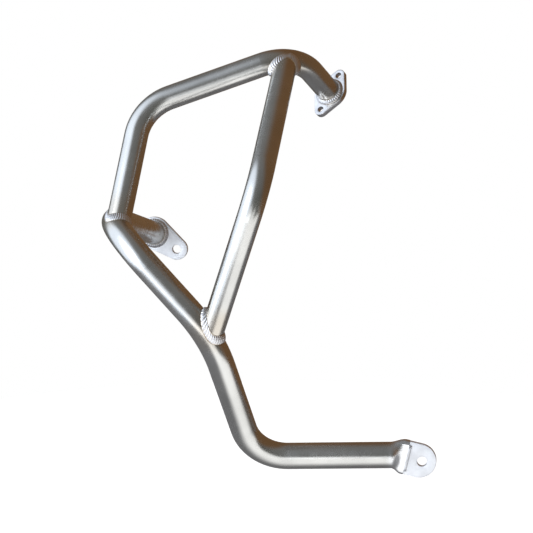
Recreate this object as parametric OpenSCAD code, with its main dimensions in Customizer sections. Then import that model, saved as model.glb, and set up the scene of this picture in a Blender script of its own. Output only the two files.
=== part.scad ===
/* [Tube sizes] */
// Outside diameter of the main tube
main_d = 28; // [26:0.5:32]
// Outside diameter of the loop tube
loop_d = 25.5; // [22:0.1:26]
// Outside diameter of the brace tube
brace_d = 24.5; // [18:0.5:25]
// Wall thickness of all three tubes
wall = 2; // [1.5:0.1:2.5]

/* [Reach of the bar from the lower bolt hole] */
// Out to the outermost corner of the main tube
bar_out = 328.5; // [300:0.5:360]
// Back to the near face of the side tab
bar_back = 210; // [190:0.5:230]
// Up to the corner of the loop's inner bend
bar_rise = 426.5; // [410:0.1:450]

/* [Main tube route] */
// Lower bend at the end of the bottom run
main_low = [-178.6, -10, 1.3];
// Gentle bend between the rise and the diagonal
main_mid = [-212.8, -70, 141.8];
// Outermost corner, where the tube turns to the rear
main_corner = [-bar_out, -55.2, 262];
// Centre of the rear end, on the face of the side tab
main_rear = [-bar_out - 1.7, bar_back, 210.6];
// Centre line radius of the lower bend
low_bend_r = 46; // [40:1:70]
// Centre line radius of the gentle bend
mid_bend_r = 100; // [60:1:130]
// Centre line radius of the outermost corner
corner_bend_r = 68; // [50:1:75]

/* [Loop tube route] */
// Upper outer bend of the loop
loop_outer = [-303.7, 30, 369];
// Upper inner bend of the loop
loop_inner = [-141.6, 50, bar_rise];
// Centre of the flange's near face, where the loop ends
loop_end = [-110.6, 110.6, 383.6];
// Centre line radius of the loop's outer bend
outer_bend_r = 52; // [40:1:70]
// Centre line radius of the loop's inner bend
inner_bend_r = 50; // [40:1:60]
// Where the loop stands on the corner bend, from its start to its end
loop_seat = 0.6; // [0.45:0.05:0.7]

/* [Brace tube route] */
// Bend in the middle of the brace
brace_mid = [-161.6, -95, 295.4];
// Centre line radius of the brace's bend
brace_bend_r = 55; // [45:1:140]
// Where the brace meets the loop's inner bend, from its start to its end
brace_top_seat = 0.42; // [0.2:0.01:0.6]
// Where the brace meets the main tube's gentle bend, from its start to its end
brace_low_seat = 0.46; // [0.3:0.01:0.7]

/* [Lower tab] */
// Thickness of the tab plates
tab_t = 6; // [5:0.5:8]
// Diameter of the bolt holes in the tabs
tab_hole_d = 10.5; // [8.4:0.1:12.5]
// Width of the lower tab
low_tab_w = 36.6; // [32:0.2:40]
// How far the bolt hole lies past the centre of the tab's round end
low_hole_past = 3.3; // [0:0.1:5]
// From the mouth of the flattened tube to the bolt hole
low_tab_l = 17; // [14:0.5:30]
// Downward slope of the tab from the level
low_tab_drop = 12; // [0:1:20]
// How deep the tongue of the tab sits in the flattened tube
tongue_l = 6; // [4:0.5:7]
// Clearance between the tongue and the tube that is pressed onto it
tongue_gap = 0.05; // [0.02:0.01:0.2]

/* [Flattened end] */
// Length of the straight flat mouth
mouth_l = 3; // [2:0.5:12]
// Length over which the round tube is pressed flat
press_l = 14; // [12:1:40]

/* [Side tab] */
// Radius of the side tab around the tube
side_big_r = 19.5; // [19:0.5:24]
// Radius of the side tab around the bolt hole
side_small_r = 13; // [12:0.5:17]
// From the tube's centre to the bolt hole
side_tab_l = 33.3; // [30:0.1:45]
// Turn of the side tab from straight down towards the inner side
side_tab_turn = 55.2; // [0:0.1:90]

/* [Top flange] */
// Thickness of the flange
flange_t = 6; // [5:0.5:8]
// Radius of the flange around the tube
flange_r = 18.5; // [17.5:0.5:24]
// Distance between the two bolt holes
ear_spacing = 44; // [42:0.5:54]
// Radius of each ear
ear_r = 7.3; // [6:0.1:9]
// Diameter of the bolt holes in the ears
ear_hole_d = 6.4; // [5.4:0.1:8.4]
// Turn of the ears about the tube, from straight down
ear_turn = 11; // [-90:1:90]
// How far the tube's end stays below the flange's mounting face
end_recess = 1; // [0.5:0.1:2]
// Clearance around the tube in the flange
flange_gap = 0.05; // [0.02:0.01:0.2]

/* [Welds] */
// Leg of the weld beads on the tubes
weld_leg = 5; // [3:0.1:6]
// Leg of the weld beads on the tabs and the flange
tab_weld_leg = 3.5; // [2.5:0.1:4.5]
// Crown of a weld bead over the straight line between its toes
weld_crown = 0.7; // [0.3:0.1:1.2]

/* [Hidden] */
$fn = 96;
tube_color = [0.62, 0.62, 0.60];
plate_color = [0.80, 0.81, 0.84];
bead_color = [0.72, 0.72, 0.73];
// Faces round the flattened end and round a bead, and the lift of a bead off the round it lies on
ring_n = 48;
bead_n = 72;
bead_lift = 0.07;

// Axis of the lower tab, from the tube towards the bolt hole, which is the origin
low_dir = [cos(low_tab_drop), 0, -sin(low_tab_drop)];
flat_t = tab_t + 2 * tongue_gap + 2 * wall;
// A tube keeps its girth when it is pressed flat
flat_w = PI * (main_d - flat_t) / 2 + flat_t;
tongue_w = flat_w - flat_t - 2 * tongue_gap;
press_end = -(low_tab_l + mouth_l) * low_dir;
press_knee = press_end - press_l / 2 * low_dir;

main_path = [press_knee, main_low, main_mid, main_corner, main_rear];
main_r = [0, low_bend_r, mid_bend_r, corner_bend_r, 0];
press_start = press_knee + unit(main_low - press_knee) * press_l / 2;

loop_foot = arc_point(main_path, main_r, 3, loop_seat);
flange_dir = unit(loop_end - loop_inner);
loop_tip = loop_end + (flange_t - end_recess) * flange_dir;
loop_path = [loop_foot, loop_outer, loop_inner, loop_tip];
loop_r = [0, outer_bend_r, inner_bend_r, 0];

brace_top = arc_point(loop_path, loop_r, 2, brace_top_seat);
brace_low = arc_point(main_path, main_r, 2, brace_low_seat);
brace_path = [brace_top, brace_mid, brace_low];
brace_r = [0, brace_bend_r, 0];

rear_dir = unit(main_rear - main_corner);

// Vectors
function unit(v) = v / norm(v);
function side_of(d) = unit(cross(abs(d[2]) < 0.9 ? [0, 0, 1] : [1, 0, 0], d));

// A route is a list of corner points with a bend radius for each of them
function leg_dir(p, i) = unit(p[i + 1] - p[i]);
function turn(p, i) = acos(leg_dir(p, i - 1) * leg_dir(p, i));
function inset(p, r, i) = r[i] == 0 ? 0 : r[i] * tan(turn(p, i) / 2);
function leg_a(p, r, i) = p[i] + leg_dir(p, i) * inset(p, r, i);
function leg_b(p, r, i) = p[i + 1] - leg_dir(p, i) * inset(p, r, i + 1);
function arc_in(p, i) = unit(leg_dir(p, i) - leg_dir(p, i - 1));
function arc_centre(p, r, i) = p[i] + arc_in(p, i) * r[i] / cos(turn(p, i) / 2);
function arc_out(p, r, i) = unit(leg_b(p, r, i - 1) - arc_centre(p, r, i));
function arc_point(p, r, i, f) = arc_centre(p, r, i)
    + r[i] * (arc_out(p, r, i) * cos(f * turn(p, i)) + leg_dir(p, i - 1) * sin(f * turn(p, i)));

// Point of a straight leg or of a bend that lies nearest to q
function near_leg(a, b, q) = a + (b - a) * max(0, min(1, (q - a) * (b - a) / ((b - a) * (b - a))));
function near_arc(p, r, i, q) = let (c = arc_centre(p, r, i), x = arc_out(p, r, i),
    y = leg_dir(p, i - 1), t = atan2((q - c) * y, (q - c) * x), h = turn(p, i) / 2,
    k = max(0, min(2 * h, t < h - 180 ? t + 360 : t)))
    c + r[i] * (x * cos(k) + y * sin(k));
function nearer(q, a, b) = norm(q - a) < norm(q - b) ? a : b;
// Nearest point on the bend i and on the two legs that run out of it
function near_route(p, r, i, q) = nearer(q, near_arc(p, r, i, q),
    nearer(q, near_leg(leg_a(p, r, i - 1), leg_b(p, r, i - 1), q),
        near_leg(leg_a(p, r, i), leg_b(p, r, i), q)));

// How far from o along d the surface of the carrier tube lies, by halving the step
function reach(p, r, i, cr, o, d, lo, hi, n = 26) = n == 0 ? (lo + hi) / 2 :
    let (m = (lo + hi) / 2, q = o + m * d)
    norm(q - near_route(p, r, i, q)) < cr ? reach(p, r, i, cr, o, d, m, hi, n - 1)
        : reach(p, r, i, cr, o, d, lo, m, n - 1);

// Places a shape drawn along +Z at a point, looking along d
module along(o, d) {
    x = side_of(d);
    y = cross(d, x);
    multmatrix([[x[0], y[0], d[0], o[0]], [x[1], y[1], d[1], o[1]],
        [x[2], y[2], d[2], o[2]], [0, 0, 0, 1]]) children();
}

// A solid round bar along a route, with true straight legs and true bends. A bend draws the tube in
// by a hair, and the legs lap into it.
bend_draw = 0.02;
lap = 0.05;
module bar(p, r, d) {
    n = len(p);
    for (i = [0 : n - 2]) {
        back = i > 0 ? lap : 0;
        on = i < n - 2 ? lap : 0;
        along(leg_a(p, r, i) - back * leg_dir(p, i), leg_dir(p, i))
            cylinder(h = norm(leg_b(p, r, i) - leg_a(p, r, i)) + back + on, d = d);
    }
    for (i = [1 : n - 2]) {
        c = arc_centre(p, r, i);
        x = arc_out(p, r, i);
        y = leg_dir(p, i - 1);
        z = cross(x, y);
        multmatrix([[x[0], y[0], z[0], c[0]], [x[1], y[1], z[1], c[1]],
            [x[2], y[2], z[2], c[2]], [0, 0, 0, 1]])
            rotate_extrude(angle = turn(p, i)) translate([r[i], 0]) circle(d = d - bend_draw);
    }
}

// Two legs and the bend between them, as the envelope that another tube is coped to
module bend_bar(p, r, i, d) {
    bar([leg_a(p, r, i - 1), p[i], leg_b(p, r, i)], [0, r[i], 0], d);
}

// Outline of a tube's wall at the share g of its pressing, k of ring_n round it
function round_at(rad, k) = rad * [cos(360 * k / ring_n), sin(360 * k / ring_n)];
function flat_at(w, t, k) = let (e = (w - t) / 2, per = 4 * e + PI * t,
    s = per * k / ring_n, q = PI * t / 4)
    s < q ? [e + t / 2 * cos(90 * s / q), t / 2 * sin(90 * s / q)] :
    s < q + 2 * e ? [e - (s - q), t / 2] :
    s < 3 * q + 2 * e ? [-e - t / 2 * sin(90 * (s - q - 2 * e) / q),
        t / 2 * cos(90 * (s - q - 2 * e) / q)] :
    s < 3 * q + 4 * e ? [-e + (s - 3 * q - 2 * e), -t / 2] :
    [e + t / 2 * sin(90 * (s - 3 * q - 4 * e) / q), -t / 2 * cos(90 * (s - 3 * q - 4 * e) / q)];
function pressed_at(rad, w, t, g, k) = (1 - g) * round_at(rad, k) + g * flat_at(w, t, k);
function ease(f) = f * f * (3 - 2 * f);

// The flattened end: round at press_start, flat from press_end to the mouth
press_steps = 10;
skin = 0.06;
press_lap = 0.4;
function press_ring(inset_by, f) = let (a = press_start, b = press_knee, c = press_end,
    o = f <= 0 ? a + sign(f + 0.5) * press_lap * unit(b - a)
        : f <= 1 ? (1 - f) * (1 - f) * a + 2 * f * (1 - f) * b + f * f * c
        : c + (f - 1) * mouth_l * low_dir,
    h = max(0, min(1, f)), d = unit((1 - h) * (b - a) + h * (c - b)),
    z = unit([0, 1, 0] - ([0, 1, 0] * d) * d), x = cross(z, d))
    [for (k = [0 : ring_n - 1]) let (q = pressed_at(main_d / 2 - inset_by,
        flat_w - 2 * inset_by, flat_t - 2 * inset_by, ease(h), k)) o + q[0] * x + q[1] * z];
module pressed_end() {
    fs = [-1, for (j = [0 : press_steps]) j / press_steps, 2];
    n = len(fs);
    rings = [for (f = fs) each press_ring(f <= 0 ? skin : 0, f),
        for (f = fs) each press_ring(f <= 0 ? wall - skin : wall, f)];
    m = n * ring_n;
    polyhedron(points = rings, faces = [
        for (j = [0 : n - 2], k = [0 : ring_n - 1]) let (l = (k + 1) % ring_n,
            a = j * ring_n, b = a + ring_n) each [[a + k, b + l, a + l], [a + k, b + k, b + l]],
        for (j = [0 : n - 2], k = [0 : ring_n - 1]) let (l = (k + 1) % ring_n,
            a = m + j * ring_n, b = a + ring_n) each [[a + k, a + l, b + l], [a + k, b + l, b + k]],
        for (k = [0 : ring_n - 1]) let (l = (k + 1) % ring_n)
            each [[k, m + l, m + k], [k, l, m + l]],
        for (k = [0 : ring_n - 1]) let (l = (k + 1) % ring_n, e = m - ring_n, g = 2 * m - ring_n)
            each [[e + k, g + k, g + l], [e + k, g + l, e + l]]
    ]);
}

// A closed ring of bead sections, each a list of points, as one solid
module bead_ring(sections) {
    n = len(sections);
    w = len(sections[0]);
    polyhedron(points = [for (s = sections) each s], faces = [
        for (j = [0 : n - 1], k = [0 : w - 1]) let (a = j * w, b = (j + 1) % n * w,
            l = (k + 1) % w) each [[a + k, a + l, b + l], [a + k, b + l, b + k]]]);
}

// One bead section: root, points under it on a round carrier, toe on the carrier, crown, toe on the
// branch
function bead_section(root, under, toe_c, toe_b) = let (m = (toe_c + toe_b) / 2,
    h = unit(m - root) * weld_crown)
    [root, each under, toe_c, 0.75 * toe_c + 0.25 * toe_b + 0.75 * h, m + h,
        0.25 * toe_c + 0.75 * toe_b + 0.75 * h, toe_b];

// The bead where a branch tube, running out of o along d, stands on bend i of a carrier
module saddle_weld(p, r, i, cd, o, d, bd) {
    x = side_of(d);
    y = cross(d, x);
    br = bd / 2 + bead_lift;
    cr = cd / 2 + bead_lift;
    bead_ring([for (k = [0 : bead_n - 1]) let (v = x * cos(360 * k / bead_n)
        + y * sin(360 * k / bead_n), t = reach(p, r, i, cr, o + br * v, d, 0, cd * 1.6),
        root = o + br * v + t * d, u = unit(root - near_route(p, r, i, root)),
        f = weld_leg * unit(v - (v * u) * u))
        bead_section(root, [for (s = [1 : 3]) on_carrier(p, r, i, cr, root + s / 4 * f)],
            on_carrier(p, r, i, cr, root + f), root + weld_leg * d)]);
}
function on_carrier(p, r, i, cr, q) = let (e = near_route(p, r, i, q)) e + unit(q - e) * cr;

// The bead where a round tube, coming along d, stands on a plane with normal m at o
module foot_weld(o, d, m, bd) {
    x = unit(cross([0, 0, 1], d));
    y = cross(d, x);
    br = bd / 2 + bead_lift;
    bead_ring([for (k = [bead_n - 1 : -1 : 0]) let (v = x * cos(360 * k / bead_n)
        + y * sin(360 * k / bead_n), t = -(br * v) * m / (d * m), root = o + br * v + t * d,
        f = unit(v - (v * m) * m))
        bead_section(root, [], root + tab_weld_leg * f, root - tab_weld_leg * d)]);
}

// The main tube: flattened lower end, four bends, rear end cut flat for the side tab
module main_tube() {
    color(tube_color) {
        pressed_end();
        difference() {
            bar(rear_path(0), main_r_cut, main_d);
            bar(rear_path(1), main_r_cut, main_d - 2 * wall);
            rear_cut();
        }
    }
}
// The route that starts where the pressing starts and runs on past the side tab's face
main_r_cut = [0, low_bend_r, mid_bend_r, corner_bend_r, 0];
function rear_path(over) = [press_start + over * unit(press_start - main_low), main_low, main_mid,
    main_corner, main_rear + (main_d / 2 + over) * rear_dir];
module rear_cut() {
    translate([main_rear[0] - 2 * main_d, main_rear[1], main_rear[2] - 2 * main_d])
        cube([4 * main_d, 4 * main_d, 4 * main_d]);
}

// The loop tube: its foot is coped to the main tube's corner bend
module loop_tube() {
    color(tube_color) difference() {
        bar(loop_path, loop_r, loop_d);
        bar([loop_foot, loop_outer, loop_inner, loop_tip + flange_dir], loop_r, loop_d - 2 * wall);
        bend_bar(main_path, main_r, 3, main_d);
    }
}

// The brace tube: coped at both ends
module brace_tube() {
    color(tube_color) difference() {
        bar(brace_path, brace_r, brace_d);
        bar(brace_path, brace_r, brace_d - 2 * wall);
        bend_bar(loop_path, loop_r, 2, loop_d);
        bend_bar(main_path, main_r, 2, main_d);
    }
}

// The lower tab: a strip with a round end and a narrower tongue that sits in the tube's mouth
module lower_tab() {
    end_r = low_tab_w / 2;
    color(plate_color) rotate([0, low_tab_drop, 0]) rotate([90, 0, 0])
        translate([0, 0, -tab_t / 2]) linear_extrude(tab_t) difference() {
            union() {
                translate([-low_hole_past, 0]) circle(r = end_r);
                translate([-low_tab_l, -end_r]) square([low_tab_l - low_hole_past, 2 * end_r]);
                translate([-low_tab_l - tongue_l, -tongue_w / 2]) square([tongue_l + 1, tongue_w]);
            }
            circle(d = tab_hole_d);
        }
}

// Outline that tapers from a round of radius a to one of radius b, at the distance l along +X
module taper(a, b, l) {
    lean = acos((a - b) / l);
    circle(r = a);
    translate([l, 0]) circle(r = b);
    polygon([[0, 0], a * [cos(lean), -sin(lean)], [l, 0] + b * [cos(lean), -sin(lean)], [l, 0],
        [l, 0] + b * [cos(lean), sin(lean)], a * [cos(lean), sin(lean)]]);
}

// The side tab: a plate that tapers from the tube to the bolt hole
module side_tab() {
    color(plate_color) translate(main_rear) rotate([-90, 0, 0]) rotate([0, 0, 90 - side_tab_turn])
        linear_extrude(tab_t) difference() {
            taper(side_big_r, side_small_r, side_tab_l);
            translate([side_tab_l, 0]) circle(d = tab_hole_d);
        }
}

// Places a shape on the flange's near face: +Z along the tube's end, +Y along the ears
module at_flange() {
    drop = unit([0, 0, -1] + flange_dir[2] * flange_dir);
    over = cross(drop, flange_dir);
    y = drop * cos(ear_turn) - over * sin(ear_turn);
    x = cross(y, flange_dir);
    o = loop_end;
    multmatrix([[x[0], y[0], flange_dir[0], o[0]], [x[1], y[1], flange_dir[1], o[1]],
        [x[2], y[2], flange_dir[2], o[2]], [0, 0, 0, 1]]) children();
}

// The top flange: a plate round the tube that tapers to an ear on each side
module top_flange() {
    color(plate_color) at_flange() difference() {
        linear_extrude(flange_t) for (s = [-1, 1]) rotate([0, 0, s * 90])
            taper(flange_r, ear_r, ear_spacing / 2);
        translate([0, 0, -1]) cylinder(h = flange_t + 2, d = loop_d + 2 * flange_gap);
        for (s = [-1, 1]) translate([0, s * ear_spacing / 2, -1])
            cylinder(h = flange_t + 2, d = ear_hole_d);
    }
}

module corner_weld() {
    color(bead_color) saddle_weld(main_path, main_r, 3, main_d, loop_foot,
        leg_dir(loop_path, 0), loop_d);
}
module brace_top_weld() {
    color(bead_color) saddle_weld(loop_path, loop_r, 2, loop_d, brace_top,
        leg_dir(brace_path, 0), brace_d);
}
module brace_low_weld() {
    color(bead_color) saddle_weld(main_path, main_r, 2, main_d, brace_low,
        -leg_dir(brace_path, 1), brace_d);
}
module flange_weld() {
    color(bead_color) foot_weld(loop_end, flange_dir, flange_dir, loop_d);
}
module side_tab_weld() {
    color(bead_color) foot_weld(main_rear, rear_dir, [0, 1, 0], main_d);
}

// A straight bead along the mouth of the flattened tube, on one face of the lower tab
module mouth_weld(side) {
    w = flat_w - flat_t;
    g = tab_weld_leg * 0.9;
    h = flat_t / 2 - tab_t / 2;
    color(bead_color) rotate([0, low_tab_drop, 0]) mirror([0, side < 0 ? 1 : 0, 0])
        translate([-low_tab_l, tab_t / 2, -w / 2]) linear_extrude(w) polygon([[0, 0], [g, 0],
            [g * 0.85, h * 0.55], [g * 0.5, h * 0.9], [g * 0.15, h], [0, h]]);
}
module lower_tab_weld_front() { mouth_weld(-1); }
module lower_tab_weld_rear() { mouth_weld(1); }

main_tube();
loop_tube();
brace_tube();
lower_tab();
side_tab();
top_flange();
corner_weld();
brace_top_weld();
brace_low_weld();
flange_weld();
side_tab_weld();
lower_tab_weld_front();
lower_tab_weld_rear();
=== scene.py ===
"""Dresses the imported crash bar: finished tubes, eased plates, rippled welds and a plain studio."""

import math

import bmesh
import bpy
from mathutils import Matrix, Vector
from mathutils.bvhtree import BVHTree


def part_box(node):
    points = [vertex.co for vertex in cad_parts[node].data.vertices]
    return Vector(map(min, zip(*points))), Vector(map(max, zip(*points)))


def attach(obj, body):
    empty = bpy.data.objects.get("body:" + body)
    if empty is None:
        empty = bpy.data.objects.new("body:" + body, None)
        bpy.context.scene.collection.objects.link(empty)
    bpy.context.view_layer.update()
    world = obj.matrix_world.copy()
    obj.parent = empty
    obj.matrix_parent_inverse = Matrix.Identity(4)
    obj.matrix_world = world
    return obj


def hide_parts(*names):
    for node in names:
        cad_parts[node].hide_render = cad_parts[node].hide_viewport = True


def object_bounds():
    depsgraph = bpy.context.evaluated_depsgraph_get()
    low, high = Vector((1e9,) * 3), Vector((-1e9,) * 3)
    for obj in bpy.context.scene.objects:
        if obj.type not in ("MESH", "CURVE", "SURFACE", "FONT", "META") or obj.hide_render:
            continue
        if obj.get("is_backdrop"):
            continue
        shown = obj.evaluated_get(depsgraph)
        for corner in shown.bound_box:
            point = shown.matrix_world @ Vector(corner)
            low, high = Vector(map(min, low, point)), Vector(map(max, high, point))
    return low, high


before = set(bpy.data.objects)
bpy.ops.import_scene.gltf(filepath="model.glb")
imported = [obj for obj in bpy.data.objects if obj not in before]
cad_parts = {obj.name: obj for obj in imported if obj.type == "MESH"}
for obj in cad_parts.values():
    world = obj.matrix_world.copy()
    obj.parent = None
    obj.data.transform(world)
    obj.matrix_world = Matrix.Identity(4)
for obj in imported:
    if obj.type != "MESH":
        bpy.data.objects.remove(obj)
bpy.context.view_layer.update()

bl_info = {
    "name": "Crash bar finish",
    "version": (1, 0, 0),
    "blender": (4, 5, 0),
    "location": "View3D > Sidebar > Crash bar",
    "description": "Gives a welded tube crash bar its steel, plates, weld beads and studio",
    "category": "Object",
}

# Places on the tubes' centre lines in metres, in the model's own frame
MOUTH = Vector((-0.0166, 0.0, 0.0035))                # pressed end of the main tube
MAIN_CORNER = Vector((-0.3285, -0.0552, 0.2620))      # outermost bend of the main tube
MAIN_REAR = Vector((-0.3302, 0.2100, 0.2106))         # rear end of the main tube
LOOP_FOOT = Vector((-0.3196, -0.0285, 0.2477))        # loop tube on the corner bend
LOOP_OUTER = Vector((-0.3037, 0.0300, 0.3690))        # outer bend of the loop tube
LOOP_INNER = Vector((-0.1416, 0.0500, 0.4265))        # inner bend of the loop tube
FLANGE_AT = Vector((-0.1106, 0.1106, 0.3836))         # loop tube at the flange
BRACE_MID = Vector((-0.1616, -0.0950, 0.2954))        # bend of the brace tube

# How the plates are turned, in radians
LOWER_TAB_DIP = math.radians(12)
SIDE_TAB_TURN = math.radians(90 - 55.2)
FLANGE_TURN = math.radians(11)
LOWER_TAB_ROOT = -0.017          # where the lower tab meets the tube, from its bolt hole

# Each band of an eased edge: its width and its fall, as shares of the easing
EDGE_BANDS = ((0.13, 0.5), (0.37, 0.37), (0.5, 0.13))
HOLE_STEPS = 56
SHARP_PLATE, SHARP_BEAD = 20, 60  # degrees above which an edge stays sharp

FINE_BUMP = 0.0001               # depth of grain, tooth and scratches
HEAT_SHARE = 0.34                # strength of the straw tint on the tubes
DULL_SHARE = 0.25                # strength of the straw tint on the flange
BLAST_SHARE = 0.7                # strength of the pale blasting at the tube's pressed end
SAME_PLACE = 2e-6                # corners of a plain bead nearer than this are one
BEAD_CUTS = 7                    # cuts across each edge of a plain bead
BEAD_RADIUS = 0.0145             # radius at which the ripples of a round bead are counted
BEAD_CROWN = 0.0009              # height above both pieces at which a bead is all crown

FLOOR_CENTRE = (-0.16, 0.06)
FLOOR_RADIUS = 0.8
CAMERA_AT = (0.0342, -1.510, 0.4336)       # where the photograph was taken from
CAMERA_LOOK = (-0.1325, 1.0, -0.1517)      # towards the bar


def middle(node):
    """Centre of a node's box."""
    low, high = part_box(node)
    return (Vector(low) + Vector(high)) / 2


# ---- settings -------------------------------------------------------------

class CrashBarPlates(bpy.types.PropertyGroup):
    """Sizes of the bolt plates"""
    thickness: bpy.props.FloatProperty(
        name="Plate thickness", description="Thickness of the tabs and the flange",
        default=0.006, min=0.004, max=0.010, unit="LENGTH")
    edge_round: bpy.props.FloatProperty(
        name="Edge rounding", description="How far the plates' cut edges are eased",
        default=0.0006, min=0.0001, max=0.0015, unit="LENGTH")
    tab_hole: bpy.props.FloatProperty(
        name="Tab hole", description="Diameter of the bolt holes in the tabs",
        default=0.0105, min=0.008, max=0.013, unit="LENGTH")
    ear_hole: bpy.props.FloatProperty(
        name="Ear hole", description="Diameter of the bolt holes in the flange's ears",
        default=0.0064, min=0.005, max=0.009, unit="LENGTH")


class CrashBarWelds(bpy.types.PropertyGroup):
    """Shape of the weld beads"""
    pitch: bpy.props.FloatProperty(
        name="Ripple pitch", description="Distance from one weld ripple to the next",
        default=0.0024, min=0.001, max=0.004, unit="LENGTH")
    depth: bpy.props.FloatProperty(
        name="Ripple depth", description="Height of a weld ripple",
        default=0.00020, min=0.0, max=0.0008, unit="LENGTH")
    bow: bpy.props.FloatProperty(
        name="Ripple bow", description="How far a ripple bows along the bead, in ripples",
        default=0.55, min=0.0, max=1.5, unit="NONE")


class CrashBarFinish(bpy.types.PropertyGroup):
    """Colours of the steel"""
    tube: bpy.props.FloatVectorProperty(
        name="Tube steel", description="Colour of the satin tube", subtype="COLOR",
        size=4, min=0.0, max=1.0, default=(0.56, 0.56, 0.54, 1.0))
    plate: bpy.props.FloatVectorProperty(
        name="Plate steel", description="Colour of the pale plates", subtype="COLOR",
        size=4, min=0.0, max=1.0, default=(0.80, 0.82, 0.85, 1.0))
    bead: bpy.props.FloatVectorProperty(
        name="Weld metal", description="Colour of the brushed weld beads", subtype="COLOR",
        size=4, min=0.0, max=1.0, default=(0.68, 0.68, 0.69, 1.0))
    heat: bpy.props.FloatVectorProperty(
        name="Heat tint", description="Straw tint that welding leaves in the steel",
        subtype="COLOR", size=4, min=0.0, max=1.0, default=(0.50, 0.40, 0.27, 1.0))


class CrashBarStage(bpy.types.PropertyGroup):
    """Floor, light and camera"""
    floor: bpy.props.FloatVectorProperty(
        name="Floor", description="Colour of the floor", subtype="COLOR",
        size=4, min=0.0, max=1.0, default=(0.42, 0.42, 0.42, 1.0))
    floor_drop: bpy.props.FloatProperty(
        name="Floor below", description="How far the floor lies under the bar",
        default=0.10, min=0.0, max=1.0, unit="LENGTH")
    lens: bpy.props.FloatProperty(
        name="Lens", description="Focal length for a 36 mm wide picture, in millimetres",
        default=99.0, min=20.0, max=200.0, unit="CAMERA")


# ---- node helpers ---------------------------------------------------------

def add(tree, kind, at, **values):
    """A new shader node with its place and properties."""
    node = tree.nodes.new(kind)
    node.location = at
    for key, value in values.items():
        setattr(node, key, value)
    return node


def plug(tree, value, socket):
    """Links an output to a socket, or sets the socket to a constant."""
    if hasattr(value, "links"):
        tree.links.new(value, socket)
    else:
        socket.default_value = value


def calc(tree, operation, at, *values):
    """A sum on outputs and constants."""
    node = add(tree, "ShaderNodeMath", at, operation=operation)
    for value, socket in zip(values, node.inputs):
        plug(tree, value, socket)
    return node.outputs[0]


def remap(tree, value, before, after, at, smooth=False):
    """Maps a value from one range to another."""
    node = add(tree, "ShaderNodeMapRange", at)
    node.interpolation_type = "SMOOTHSTEP" if smooth else "LINEAR"
    plug(tree, value, node.inputs["Value"])
    for key, limit in zip(("From Min", "From Max", "To Min", "To Max"), (*before, *after)):
        node.inputs[key].default_value = limit
    return node.outputs["Result"]


def ramp(tree, value, stops, at):
    """Colours a value by stops of position and colour."""
    node = add(tree, "ShaderNodeValToRGB", at)
    line = node.color_ramp
    line.elements[0].position, line.elements[0].color = stops[0]
    line.elements[1].position, line.elements[1].color = stops[-1]
    for position, colour in stops[1:-1]:
        line.elements.new(position).color = colour
    plug(tree, value, node.inputs[0])
    return node.outputs["Color"]


def mix_colour(tree, share, a, b, at):
    """Mixes two colours by a share of the second."""
    node = add(tree, "ShaderNodeMix", at, data_type="RGBA")
    for value, socket in ((share, node.inputs[0]), (a, node.inputs[6]), (b, node.inputs[7])):
        plug(tree, value, socket)
    return node.outputs[2]


def noise(tree, coords, scale, detail, at, stretch=None):
    """Noise in object coordinates, stretched along an axis if asked."""
    node = add(tree, "ShaderNodeTexNoise", at)
    node.inputs["Scale"].default_value = scale
    node.inputs["Detail"].default_value = detail
    if stretch:
        mapping = add(tree, "ShaderNodeMapping", (at[0] - 200, at[1]))
        mapping.inputs["Scale"].default_value = stretch
        tree.links.new(coords, mapping.inputs["Vector"])
        coords = mapping.outputs["Vector"]
    tree.links.new(coords, node.inputs["Vector"])
    return node.outputs[0]


def near_point(tree, coords, point, inner, outer, at):
    """A value of 1 within inner of a point, falling to 0 at outer."""
    far = add(tree, "ShaderNodeVectorMath", at, operation="DISTANCE")
    tree.links.new(coords, far.inputs[0])
    far.inputs[1].default_value = point
    return remap(tree, far.outputs["Value"], (inner, outer), (1.0, 0.0), (at[0] + 180, at[1]),
                 smooth=True)


def grey(value):
    """An opaque grey."""
    return (value, value, value, 1.0)


def tinted(colour, factor):
    """A colour made darker or paler, but never brighter than white."""
    return tuple(min(1.0, c * factor) for c in colour[:3]) + (1.0,)


def metal(name):
    """A new metallic material, its nodes, its shader and its object coordinates."""
    mat = bpy.data.materials.new(name)
    mat.use_nodes = True
    tree = mat.node_tree
    shader = tree.nodes["Principled BSDF"]
    shader.inputs["Metallic"].default_value = 1.0
    coords = add(tree, "ShaderNodeTexCoord", (-1500, 0))
    return mat, tree, shader, coords.outputs["Object"]


def surface(tree, shader, colour, rough, height, strength):
    """Links colour, roughness and a fine bump to a shader."""
    tree.links.new(colour, shader.inputs["Base Color"])
    tree.links.new(rough, shader.inputs["Roughness"])
    bump = add(tree, "ShaderNodeBump", (-400, -400))
    bump.inputs["Strength"].default_value = strength
    bump.inputs["Distance"].default_value = FINE_BUMP
    tree.links.new(height, bump.inputs["Height"])
    tree.links.new(bump.outputs[0], shader.inputs["Normal"])


# ---- finishes -------------------------------------------------------------

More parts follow.
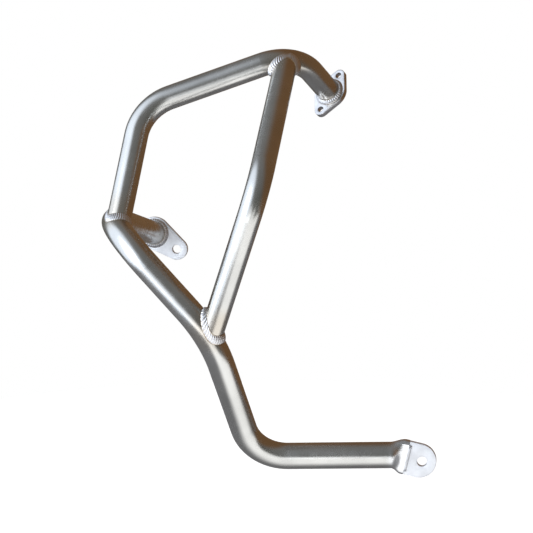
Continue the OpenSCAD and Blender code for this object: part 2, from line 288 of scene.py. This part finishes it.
def tube_finish(finish, heat_spots):
    """Satin drawn tube: cloudy polish, grain, handling marks, heat tint and a blasted end."""
    mat, tree, shader, coords = metal("satin_stainless_tube")
    cloud = noise(tree, coords, scale=22.0, detail=3.0, at=(-1100, 300))
    colour = ramp(tree, cloud, [(0.30, tinted(finish.tube, 0.90)),
                                (0.70, tinted(finish.tube, 1.06))], (-880, 300))
    for i, (point, inner, outer) in enumerate(heat_spots):
        row = 180 * i
        spot = near_point(tree, coords, point, inner, outer, (-1100, 900 + row))
        soft = calc(tree, "MULTIPLY", (-720, 900 + row), spot, HEAT_SHARE)
        colour = mix_colour(tree, soft, colour, tuple(finish.heat), (-560, 700 + row))
    blast = near_point(tree, coords, MOUTH, inner=0.017, outer=0.027, at=(-1100, 2100))
    pale = calc(tree, "MULTIPLY", (-720, 2100), blast, BLAST_SHARE)
    colour = mix_colour(tree, pale, colour, tuple(finish.plate), (-560, 2100))

    grain = noise(tree, coords, scale=900.0, detail=2.0, at=(-1100, -50))
    marks = noise(tree, coords, scale=60.0, detail=6.0, at=(-1100, -300))
    worn = calc(tree, "MULTIPLY_ADD", (-900, -120), grain, 0.35, marks)
    centred = calc(tree, "SUBTRACT", (-900, -300), worn, 0.17)
    rough = remap(tree, centred, (0.3, 0.7), (0.22, 0.29), (-700, -50))
    surface(tree, shader, colour, rough, grain, strength=0.05)
    return mat


def plate_finish(finish):
    """Pale blasted plate with a fine tooth and faint smudges."""
    mat, tree, shader, coords = metal("pale_blasted_plate")
    shader.inputs["Metallic"].default_value = 0.55
    cloud = noise(tree, coords, scale=55.0, detail=5.0, at=(-1100, 300))
    colour = ramp(tree, cloud, [(0.32, tinted(finish.plate, 0.86)),
                                (0.62, tinted(finish.plate, 1.10))], (-880, 300))
    rough = remap(tree, cloud, (0.0, 1.0), (0.36, 0.52), (-700, -50))
    tooth = noise(tree, coords, scale=2600.0, detail=3.0, at=(-1100, -50))
    surface(tree, shader, colour, rough, tooth, strength=0.15)
    return mat


def flange_finish(finish):
    """Silver flange: bright turned steel, a little dull where the weld heated it."""
    mat, tree, shader, coords = metal("silver_flange_steel")
    cloud = noise(tree, coords, scale=90.0, detail=4.0, at=(-1100, 300))
    colour = ramp(tree, cloud, [(0.30, tinted(finish.bead, 0.78)),
                                (0.68, tinted(finish.bead, 1.10))], (-880, 300))
    warm = near_point(tree, coords, FLANGE_AT, inner=0.012, outer=0.020, at=(-1100, 700))
    soft = calc(tree, "MULTIPLY", (-720, 700), warm, DULL_SHARE)
    colour = mix_colour(tree, soft, colour, tuple(finish.heat), (-500, 500))
    rough = remap(tree, cloud, (0.0, 1.0), (0.22, 0.36), (-700, -50))
    scratch = noise(tree, coords, scale=1400.0, detail=2.0, at=(-1100, -350),
                    stretch=(1.0, 1.0, 0.15))
    surface(tree, shader, colour, rough, scratch, strength=0.10)
    return mat


def bead_finish(finish):
    """Brushed weld metal: satin crowns, straw tint at the toes."""
    mat, tree, shader, coords = metal("brushed_weld_bead")
    crown = add(tree, "ShaderNodeAttribute", (-1100, 300), attribute_name="crown")
    colour = ramp(tree, crown.outputs["Fac"], [(0.0, tuple(finish.heat)),
                                               (0.35, tuple(finish.bead)),
                                               (1.0, tinted(finish.bead, 0.92))], (-880, 300))
    speck = noise(tree, coords, scale=1500.0, detail=3.0, at=(-1100, -50))
    rough = remap(tree, speck, (0.0, 1.0), (0.28, 0.46), (-700, -50))
    surface(tree, shader, colour, rough, speck, strength=0.12)
    return mat


def material(context, name, make):
    """The named material, made on its first use."""
    return bpy.data.materials.get(name) or make(context.scene.crashbar_finish)


def plate_material(context):
    """The material that the plates and the beads of the lower tab share."""
    return material(context, "pale_blasted_plate", plate_finish)


# ---- making pieces --------------------------------------------------------

def new_piece(name, bm, mat, slot, *nodes):
    """A finished piece that rides on the bar and stands for the named nodes."""
    mesh = bpy.data.meshes.new(name)
    bm.to_mesh(mesh)
    bm.free()
    piece = bpy.data.objects.new(name, mesh)
    bpy.context.scene.collection.objects.link(piece)
    mesh.materials.append(mat)
    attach(piece, "root")
    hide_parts(*nodes)
    return piece


def shade(mesh, degrees):
    """Smooth faces with sharp edges where the surface turns by more than the angle."""
    for poly in mesh.polygons:
        poly.use_smooth = True
    mesh.set_sharp_from_angle(angle=math.radians(degrees))


def arc(bm, centre, start, angle, steps):
    """Spins one point round a centre and returns the first and last point."""
    first = bm.verts.new((start[0], start[1], 0.0))
    made = bmesh.ops.spin(bm, geom=[first], cent=(centre[0], centre[1], 0.0), axis=(0, 0, 1),
                          dvec=(0, 0, 0), angle=angle, steps=steps, use_duplicate=False)
    last = next(v for v in made["geom_last"] if isinstance(v, bmesh.types.BMVert))
    return first, last


def plate(bm, holes, sizes, place):
    """Fills the outline in bm round its holes, thickens it, eases its edges and places it."""
    bmesh.ops.remove_doubles(bm, verts=bm.verts, dist=1e-7)
    for centre, radius in holes:
        bmesh.ops.create_circle(bm, cap_ends=False, segments=HOLE_STEPS, radius=radius,
                                matrix=Matrix.Translation((centre[0], centre[1], 0.0)))
    bmesh.ops.triangle_fill(bm, use_beauty=True, edges=bm.edges[:], normal=(0, 0, 1))
    flat = bm.faces[:]
    for face in flat:
        face.normal_update()
    ease = sizes.edge_round
    body = sizes.thickness - 2 * ease
    bmesh.ops.translate(bm, verts=bm.verts, vec=(0, 0, -body / 2))
    made = bmesh.ops.extrude_face_region(bm, geom=flat)
    lifted = [g for g in made["geom"] if isinstance(g, bmesh.types.BMVert)]
    bmesh.ops.translate(bm, verts=lifted, vec=(0, 0, body))
    bmesh.ops.recalc_face_normals(bm, faces=bm.faces)
    lower = [f for f in bm.faces if f.normal.z < -0.9]
    upper = [f for f in bm.faces if f.normal.z > 0.9]
    for side in (upper, lower):
        for width, fall in EDGE_BANDS:
            bmesh.ops.inset_region(bm, faces=side, use_boundary=True, use_even_offset=True,
                                   thickness=ease * width, depth=ease * fall)
    bmesh.ops.transform(bm, matrix=place, verts=bm.verts)


def rippled(context, node, branch, carrier, centre, axis, ring, pale=False):
    """A copy of a plain bead, cut finer and given bowed ripples between its two toes.

    A ring's ripples go round the axis, a straight bead's go along it.
    """
    welds = context.scene.crashbar_welds
    bm = bmesh.new()
    bm.from_mesh(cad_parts[node].data)
    bmesh.ops.remove_doubles(bm, verts=bm.verts, dist=SAME_PLACE)
    bmesh.ops.subdivide_edges(bm, edges=bm.edges[:], cuts=BEAD_CUTS, use_grid_fill=True)
    bm.normal_update()
    walls = []
    for name in (branch, carrier):
        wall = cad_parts[name].data
        walls.append(BVHTree.FromPolygons([v.co for v in wall.vertices],
                                          [tuple(p.vertices) for p in wall.polygons]))
    axis = axis.normalized()
    x = axis.orthogonal().normalized()
    y = axis.cross(x)
    count = round(2 * math.pi * BEAD_RADIUS / welds.pitch)
    crown = bm.verts.layers.float.new("crown")
    moves = []
    for v in bm.verts:
        near = [wall.find_nearest(v.co)[3] for wall in walls]
        across = (near[0] - near[1]) / max(near[0] + near[1], 1e-9)
        height = min(1.0, min(near) / BEAD_CROWN)
        height = height * height * (3 - 2 * height)
        rel = v.co - centre
        if ring:
            phase = math.atan2(rel.dot(y), rel.dot(x)) * count
        else:
            phase = rel.dot(axis) / welds.pitch * 2 * math.pi
        wave = math.cos(phase + 2 * math.pi * welds.bow * across * across)
        v[crown] = height * (0.75 + 0.25 * wave)
        moves.append((v, v.normal * (welds.depth * height * (wave - 0.2))))
    for v, move in moves:
        v.co += move
    mat = plate_material(context) if pale else material(context, "brushed_weld_bead", bead_finish)
    piece = new_piece(node + "_bead", bm, mat, "weld_metal", node)
    shade(piece.data, SHARP_BEAD)


# ---- operators ------------------------------------------------------------

class CRASHBAR_OT_tubes(bpy.types.Operator):
    """Gives the three bent tubes their satin steel"""
    bl_idname = "crashbar.tubes"
    bl_label = "Finish the tubes"

    def execute(self, context):
        # Each tinted place, the radius of its full tint and the radius where it ends
        spots = [(middle("corner_weld"), 0.016, 0.034), (middle("brace_top_weld"), 0.014, 0.032),
                 (middle("brace_low_weld"), 0.016, 0.034), (MAIN_REAR, 0.004, 0.032),
                 (FLANGE_AT, 0.006, 0.032)]
        mat = tube_finish(context.scene.crashbar_finish, spots)
        for name in ("main_tube", "loop_tube", "brace_tube"):
            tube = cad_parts[name]
            tube.data.materials.clear()
            tube.data.materials.append(mat)
        return {"FINISHED"}


class CRASHBAR_OT_lower_tab(bpy.types.Operator):
    """Makes the lower tab with its round end, its tongue and its bolt hole"""
    bl_idname = "crashbar.lower_tab"
    bl_label = "Lower tab"

    def execute(self, context):
        sizes = context.scene.crashbar_plates
        bm = bmesh.new()
        half, end_centre = 0.0183, -0.0033          # half width, and centre of the round end
        tongue, tongue_end = 0.01399, -0.023        # half width and end of the tongue
        first, last = arc(bm, (end_centre, 0), (end_centre, -half), math.pi, steps=56)
        corners = [(LOWER_TAB_ROOT, half), (LOWER_TAB_ROOT, tongue), (tongue_end, tongue),
                   (tongue_end, -tongue), (LOWER_TAB_ROOT, -tongue), (LOWER_TAB_ROOT, -half)]
        chain = [last] + [bm.verts.new((x, y, 0.0)) for x, y in corners] + [first]
        for a, b in zip(chain, chain[1:]):
            bm.edges.new((a, b))
        place = Matrix.Rotation(LOWER_TAB_DIP, 4, "Y") @ Matrix.Rotation(math.pi / 2, 4, "X")
        plate(bm, [((0, 0), sizes.tab_hole / 2)], sizes, place)
        piece = new_piece("lower_tab_plate", bm, plate_material(context), "plate_steel",
                          "lower_tab")
        shade(piece.data, SHARP_PLATE)
        return {"FINISHED"}


class CRASHBAR_OT_side_tab(bpy.types.Operator):
    """Makes the side tab, a plate that tapers from the tube to its bolt hole"""
    bl_idname = "crashbar.side_tab"
    bl_label = "Side tab"

    def execute(self, context):
        sizes = context.scene.crashbar_plates
        bm = bmesh.new()
        big, small, apart = 0.0195, 0.013, 0.0333   # radii of the two ends, and their distance
        lean = math.acos((big - small) / apart)
        start = (big * math.cos(lean), big * math.sin(lean))
        a0, a1 = arc(bm, (0, 0), start, 2 * math.pi - 2 * lean, steps=64)
        start = (apart + small * math.cos(lean), -small * math.sin(lean))
        b0, b1 = arc(bm, (apart, 0), start, 2 * lean, steps=40)
        bm.edges.new((a1, b0))
        bm.edges.new((b1, a0))
        place = (Matrix.Translation(MAIN_REAR + Vector((0, sizes.thickness / 2, 0)))
                 @ Matrix.Rotation(-math.pi / 2, 4, "X") @ Matrix.Rotation(SIDE_TAB_TURN, 4, "Z"))
        plate(bm, [((apart, 0), sizes.tab_hole / 2)], sizes, place)
        piece = new_piece("side_tab_plate", bm, plate_material(context), "plate_steel",
                          "side_tab")
        shade(piece.data, SHARP_PLATE)
        return {"FINISHED"}


class CRASHBAR_OT_flange(bpy.types.Operator):
    """Makes the top flange, a plate round the tube that tapers to two drilled ears"""
    bl_idname = "crashbar.flange"
    bl_label = "Top flange"

    def execute(self, context):
        sizes = context.scene.crashbar_plates
        bm = bmesh.new()
        ring, bore, ear, out = 0.0185, 0.0128, 0.0073, 0.022    # radii, and place of the ears
        lean = math.acos((ring - ear) / out)
        quarter = math.pi / 2
        ends = []
        for centre, radius, start, angle in (
                (0, ring, lean - quarter, math.pi - 2 * lean),
                (out, ear, quarter - lean, 2 * lean),
                (0, ring, quarter + lean, math.pi - 2 * lean),
                (-out, ear, 3 * quarter - lean, 2 * lean)):
            point = (radius * math.cos(start), centre + radius * math.sin(start))
            ends.append(arc(bm, (0, centre), point, angle, steps=40))
        for (_, last), (first, _) in zip(ends, ends[1:] + ends[:1]):
            bm.edges.new((last, first))

        along = (FLANGE_AT - LOOP_INNER).normalized()
        drop = (Vector((0, 0, -1)) + along.z * along).normalized()
        y = drop * math.cos(FLANGE_TURN) - drop.cross(along) * math.sin(FLANGE_TURN)
        axes = Matrix((y.cross(along), y, along)).transposed().to_4x4()
        place = Matrix.Translation(FLANGE_AT + along * sizes.thickness / 2) @ axes
        plate(bm, [((0, 0), bore), ((0, out), sizes.ear_hole / 2), ((0, -out), sizes.ear_hole / 2)],
              sizes, place)
        silver = flange_finish(context.scene.crashbar_finish)
        piece = new_piece("top_flange_plate", bm, silver, "plate_steel", "top_flange")
        shade(piece.data, SHARP_PLATE)
        return {"FINISHED"}


class CRASHBAR_OT_welds(bpy.types.Operator):
    """Makes the rippled weld beads at every joint of the bar"""
    bl_idname = "crashbar.welds"
    bl_label = "Weld beads"

    def execute(self, context):
        top, low = middle("brace_top_weld"), middle("brace_low_weld")
        rings = (("corner_weld", "loop_tube", "main_tube", LOOP_FOOT, LOOP_OUTER - LOOP_FOOT),
                 ("brace_top_weld", "brace_tube", "loop_tube", top, BRACE_MID - top),
                 ("brace_low_weld", "brace_tube", "main_tube", low, BRACE_MID - low),
                 ("flange_weld", "loop_tube", "top_flange", FLANGE_AT, FLANGE_AT - LOOP_INNER),
                 ("side_tab_weld", "main_tube", "side_tab", MAIN_REAR, MAIN_REAR - MAIN_CORNER))
        for names_and_line in rings:
            rippled(context, *names_and_line, ring=True)
        dip, rise = math.sin(LOWER_TAB_DIP), math.cos(LOWER_TAB_DIP)
        seam = LOWER_TAB_ROOT * Vector((rise, 0, -dip))
        for name in ("lower_tab_weld_front", "lower_tab_weld_rear"):
            rippled(context, name, "main_tube", "lower_tab", seam, Vector((dip, 0, rise)),
                    ring=False, pale=True)
        return {"FINISHED"}


class CRASHBAR_OT_stage(bpy.types.Operator):
    """Sets up the floor, the studio light and the camera"""
    bl_idname = "crashbar.stage"
    bl_label = "Studio"

    def execute(self, context):
        stage = context.scene.crashbar_stage
        scene = context.scene
        scene.view_settings.view_transform = "Standard"
        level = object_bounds()[0].z - stage.floor_drop
        bm = bmesh.new()
        bmesh.ops.create_circle(bm, cap_ends=True, segments=96, radius=FLOOR_RADIUS,
                                matrix=Matrix.Translation((*FLOOR_CENTRE, level)))
        mesh = bpy.data.meshes.new("studio_floor")
        bm.to_mesh(mesh)
        bm.free()
        floor = bpy.data.objects.new("studio_floor", mesh)
        scene.collection.objects.link(floor)
        floor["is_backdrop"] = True
        mesh.materials.append(floor_finish(stage))
        world_light(scene)
        lamp(scene, "key_softbox", at=(-1.30, -0.95, 0.45), to=(-0.16, 0.0, 0.22),
             size=(0.9, 1.3), power=10.0, colour=(0.93, 0.96, 1.0))
        lamp(scene, "front_strip", at=(-0.10, -1.00, -0.16), to=(-0.14, 0.0, 0.05),
             size=(1.3, 0.34), power=1.6, colour=(0.97, 0.98, 1.0))
        camera(scene, stage)
        return {"FINISHED"}


# ---- studio ---------------------------------------------------------------

def floor_finish(stage):
    """Pale floor: white paper to the camera, with the bar's shadow, and a painted reflection in the
    steel.

    Its front and right part glows to glossy rays only, a painted glow that shows in the steel as a
    soft pale streak.
    """
    mat = bpy.data.materials.new("pale_floor")
    mat.use_nodes = True
    tree = mat.node_tree
    shader = tree.nodes["Principled BSDF"]
    shader.inputs["Base Color"].default_value = tuple(stage.floor)
    shader.inputs["Roughness"].default_value = 0.9
    shader.inputs["Specular IOR Level"].default_value = 0.0
    path = add(tree, "ShaderNodeLightPath", (-700, -300))
    coords = add(tree, "ShaderNodeTexCoord", (-1300, -500))
    split = add(tree, "ShaderNodeSeparateXYZ", (-1100, -500))
    tree.links.new(coords.outputs["Object"], split.inputs[0])
    # Painted reflection: the front and right of the floor glow to glossy rays only, as a pale streak
    # in the steel
    front = remap(tree, split.outputs["Y"], (0.0, -0.13), (0.0, 1.35), (-900, -450), smooth=True)
    right = remap(tree, split.outputs["X"], (-0.27, -0.11), (0.0, 1.0), (-900, -700), smooth=True)
    painted_glow_area = calc(tree, "MULTIPLY", (-700, -550), front, right)
    sheen = calc(tree, "MULTIPLY", (-500, -450), path.outputs["Is Glossy Ray"], painted_glow_area)
    glow = calc(tree, "MULTIPLY_ADD", (-300, -300), path.outputs["Is Camera Ray"], 0.90, sheen)
    shader.inputs["Emission Color"].default_value = grey(1.0)
    tree.links.new(glow, shader.inputs["Emission Strength"])
    return mat


def world_light(scene):
    """A dim studio with a brown wall and two pale windows, and white behind the bar."""
    world = bpy.data.worlds.new("studio")
    scene.world = world
    world.use_nodes = True
    tree = world.node_tree
    room = tree.nodes["Background"]
    way = add(tree, "ShaderNodeTexCoord", (-1500, 0)).outputs["Generated"]
    split = add(tree, "ShaderNodeSeparateXYZ", (-1300, 200))
    tree.links.new(way, split.inputs[0])
    height = remap(tree, split.outputs["Z"], (-1.0, 1.0), (0.0, 1.0), (-1100, 200))
    shown = ramp(tree, height, [(0.0, (0.10, 0.10, 0.095, 1)), (0.40, (0.15, 0.15, 0.14, 1)),
                                (0.50, (0.12, 0.12, 0.11, 1)), (0.70, (0.19, 0.19, 0.185, 1)),
                                (1.0, (0.24, 0.24, 0.24, 1))], (-900, 200))
    patches = (    # direction, cosines at which it starts and is full, colour
        ((0.70, 0.66, 0.28), (0.16, 0.70), (0.20, 0.110, 0.052, 1.0)),      # brown wall
        ((-0.90, -0.40, 0.14), (0.50, 0.74), (1.45, 1.58, 1.80, 1.0)),      # window at the left
        ((-0.10, -0.96, -0.26), (0.93, 0.985), (1.25, 1.28, 1.34, 1.0)))    # low front window
    for i, (toward, edge, colour) in enumerate(patches):
        row = -200 - 300 * i
        face = add(tree, "ShaderNodeVectorMath", (-1300, row), operation="DOT_PRODUCT")
        tree.links.new(way, face.inputs[0])
        face.inputs[1].default_value = Vector(toward).normalized()
        share = remap(tree, face.outputs["Value"], edge, (0.0, 1.0), (-1100, row), smooth=True)
        shown = mix_colour(tree, share, shown, colour, (-700 + 200 * i, -100))
    tree.links.new(shown, room.inputs["Color"])
    paper = add(tree, "ShaderNodeBackground", (-100, -200))
    paper.inputs["Color"].default_value = grey(1.0)
    path = add(tree, "ShaderNodeLightPath", (-100, 300))
    pick = add(tree, "ShaderNodeMixShader", (150, 0))
    for output, socket in zip((path.outputs["Is Camera Ray"], room.outputs[0], paper.outputs[0]),
                              pick.inputs):
        tree.links.new(output, socket)
    tree.links.new(pick.outputs[0], tree.nodes["World Output"].inputs["Surface"])


def lamp(scene, name, at, to, size, power, colour):
    """A soft rectangular lamp that shines from one point towards another."""
    data = bpy.data.lights.new(name, "AREA")
    data.shape = "RECTANGLE"
    data.size, data.size_y = size
    data.energy = power
    data.color = colour
    made = bpy.data.objects.new(name, data)
    scene.collection.objects.link(made)
    made.location = at
    made.rotation_euler = (Vector(to) - Vector(at)).to_track_quat("-Z", "Y").to_euler()


def camera(scene, stage):
    """The photograph's viewpoint, turned to the bar."""
    data = bpy.data.cameras.new("photo_camera")
    made = bpy.data.objects.new("photo_camera", data)
    scene.collection.objects.link(made)
    made.location = CAMERA_AT
    made.rotation_euler = Vector(CAMERA_LOOK).to_track_quat("-Z", "Y").to_euler()
    data.sensor_width = 36.0
    data.lens = stage.lens
    data.clip_start, data.clip_end = 0.05, 50.0
    scene.camera = made


# ---- add-on ---------------------------------------------------------------

class CRASHBAR_PT_panel(bpy.types.Panel):
    """Lists the sizes, colours and steps of the crash bar"""
    bl_idname = "CRASHBAR_PT_panel"
    bl_label = "Crash bar"
    bl_space_type = "VIEW_3D"
    bl_region_type = "UI"
    bl_category = "Crash bar"

    def draw(self, context):
        for group in ("crashbar_plates", "crashbar_welds", "crashbar_finish", "crashbar_stage"):
            owner = getattr(context.scene, group)
            box = self.layout.box()
            for key in owner.__annotations__:
                box.prop(owner, key)
        for cls in STEPS:
            self.layout.operator(cls.bl_idname)


GROUPS = {"crashbar_plates": CrashBarPlates, "crashbar_welds": CrashBarWelds,
          "crashbar_finish": CrashBarFinish, "crashbar_stage": CrashBarStage}
STEPS = (CRASHBAR_OT_tubes, CRASHBAR_OT_lower_tab, CRASHBAR_OT_side_tab, CRASHBAR_OT_flange,
         CRASHBAR_OT_welds, CRASHBAR_OT_stage)


def register():
    for cls in (*GROUPS.values(), *STEPS, CRASHBAR_PT_panel):
        bpy.utils.register_class(cls)
    for key, group in GROUPS.items():
        setattr(bpy.types.Scene, key, bpy.props.PointerProperty(type=group))


def unregister():
    for key in GROUPS:
        delattr(bpy.types.Scene, key)
    for cls in (CRASHBAR_PT_panel, *reversed(STEPS), *reversed(list(GROUPS.values()))):
        bpy.utils.unregister_class(cls)


def main():
    register()
    bpy.ops.crashbar.tubes()
    bpy.ops.crashbar.lower_tab()
    bpy.ops.crashbar.side_tab()
    bpy.ops.crashbar.flange()
    bpy.ops.crashbar.welds()
    bpy.ops.crashbar.stage()


if __name__ == "__main__":
    main()
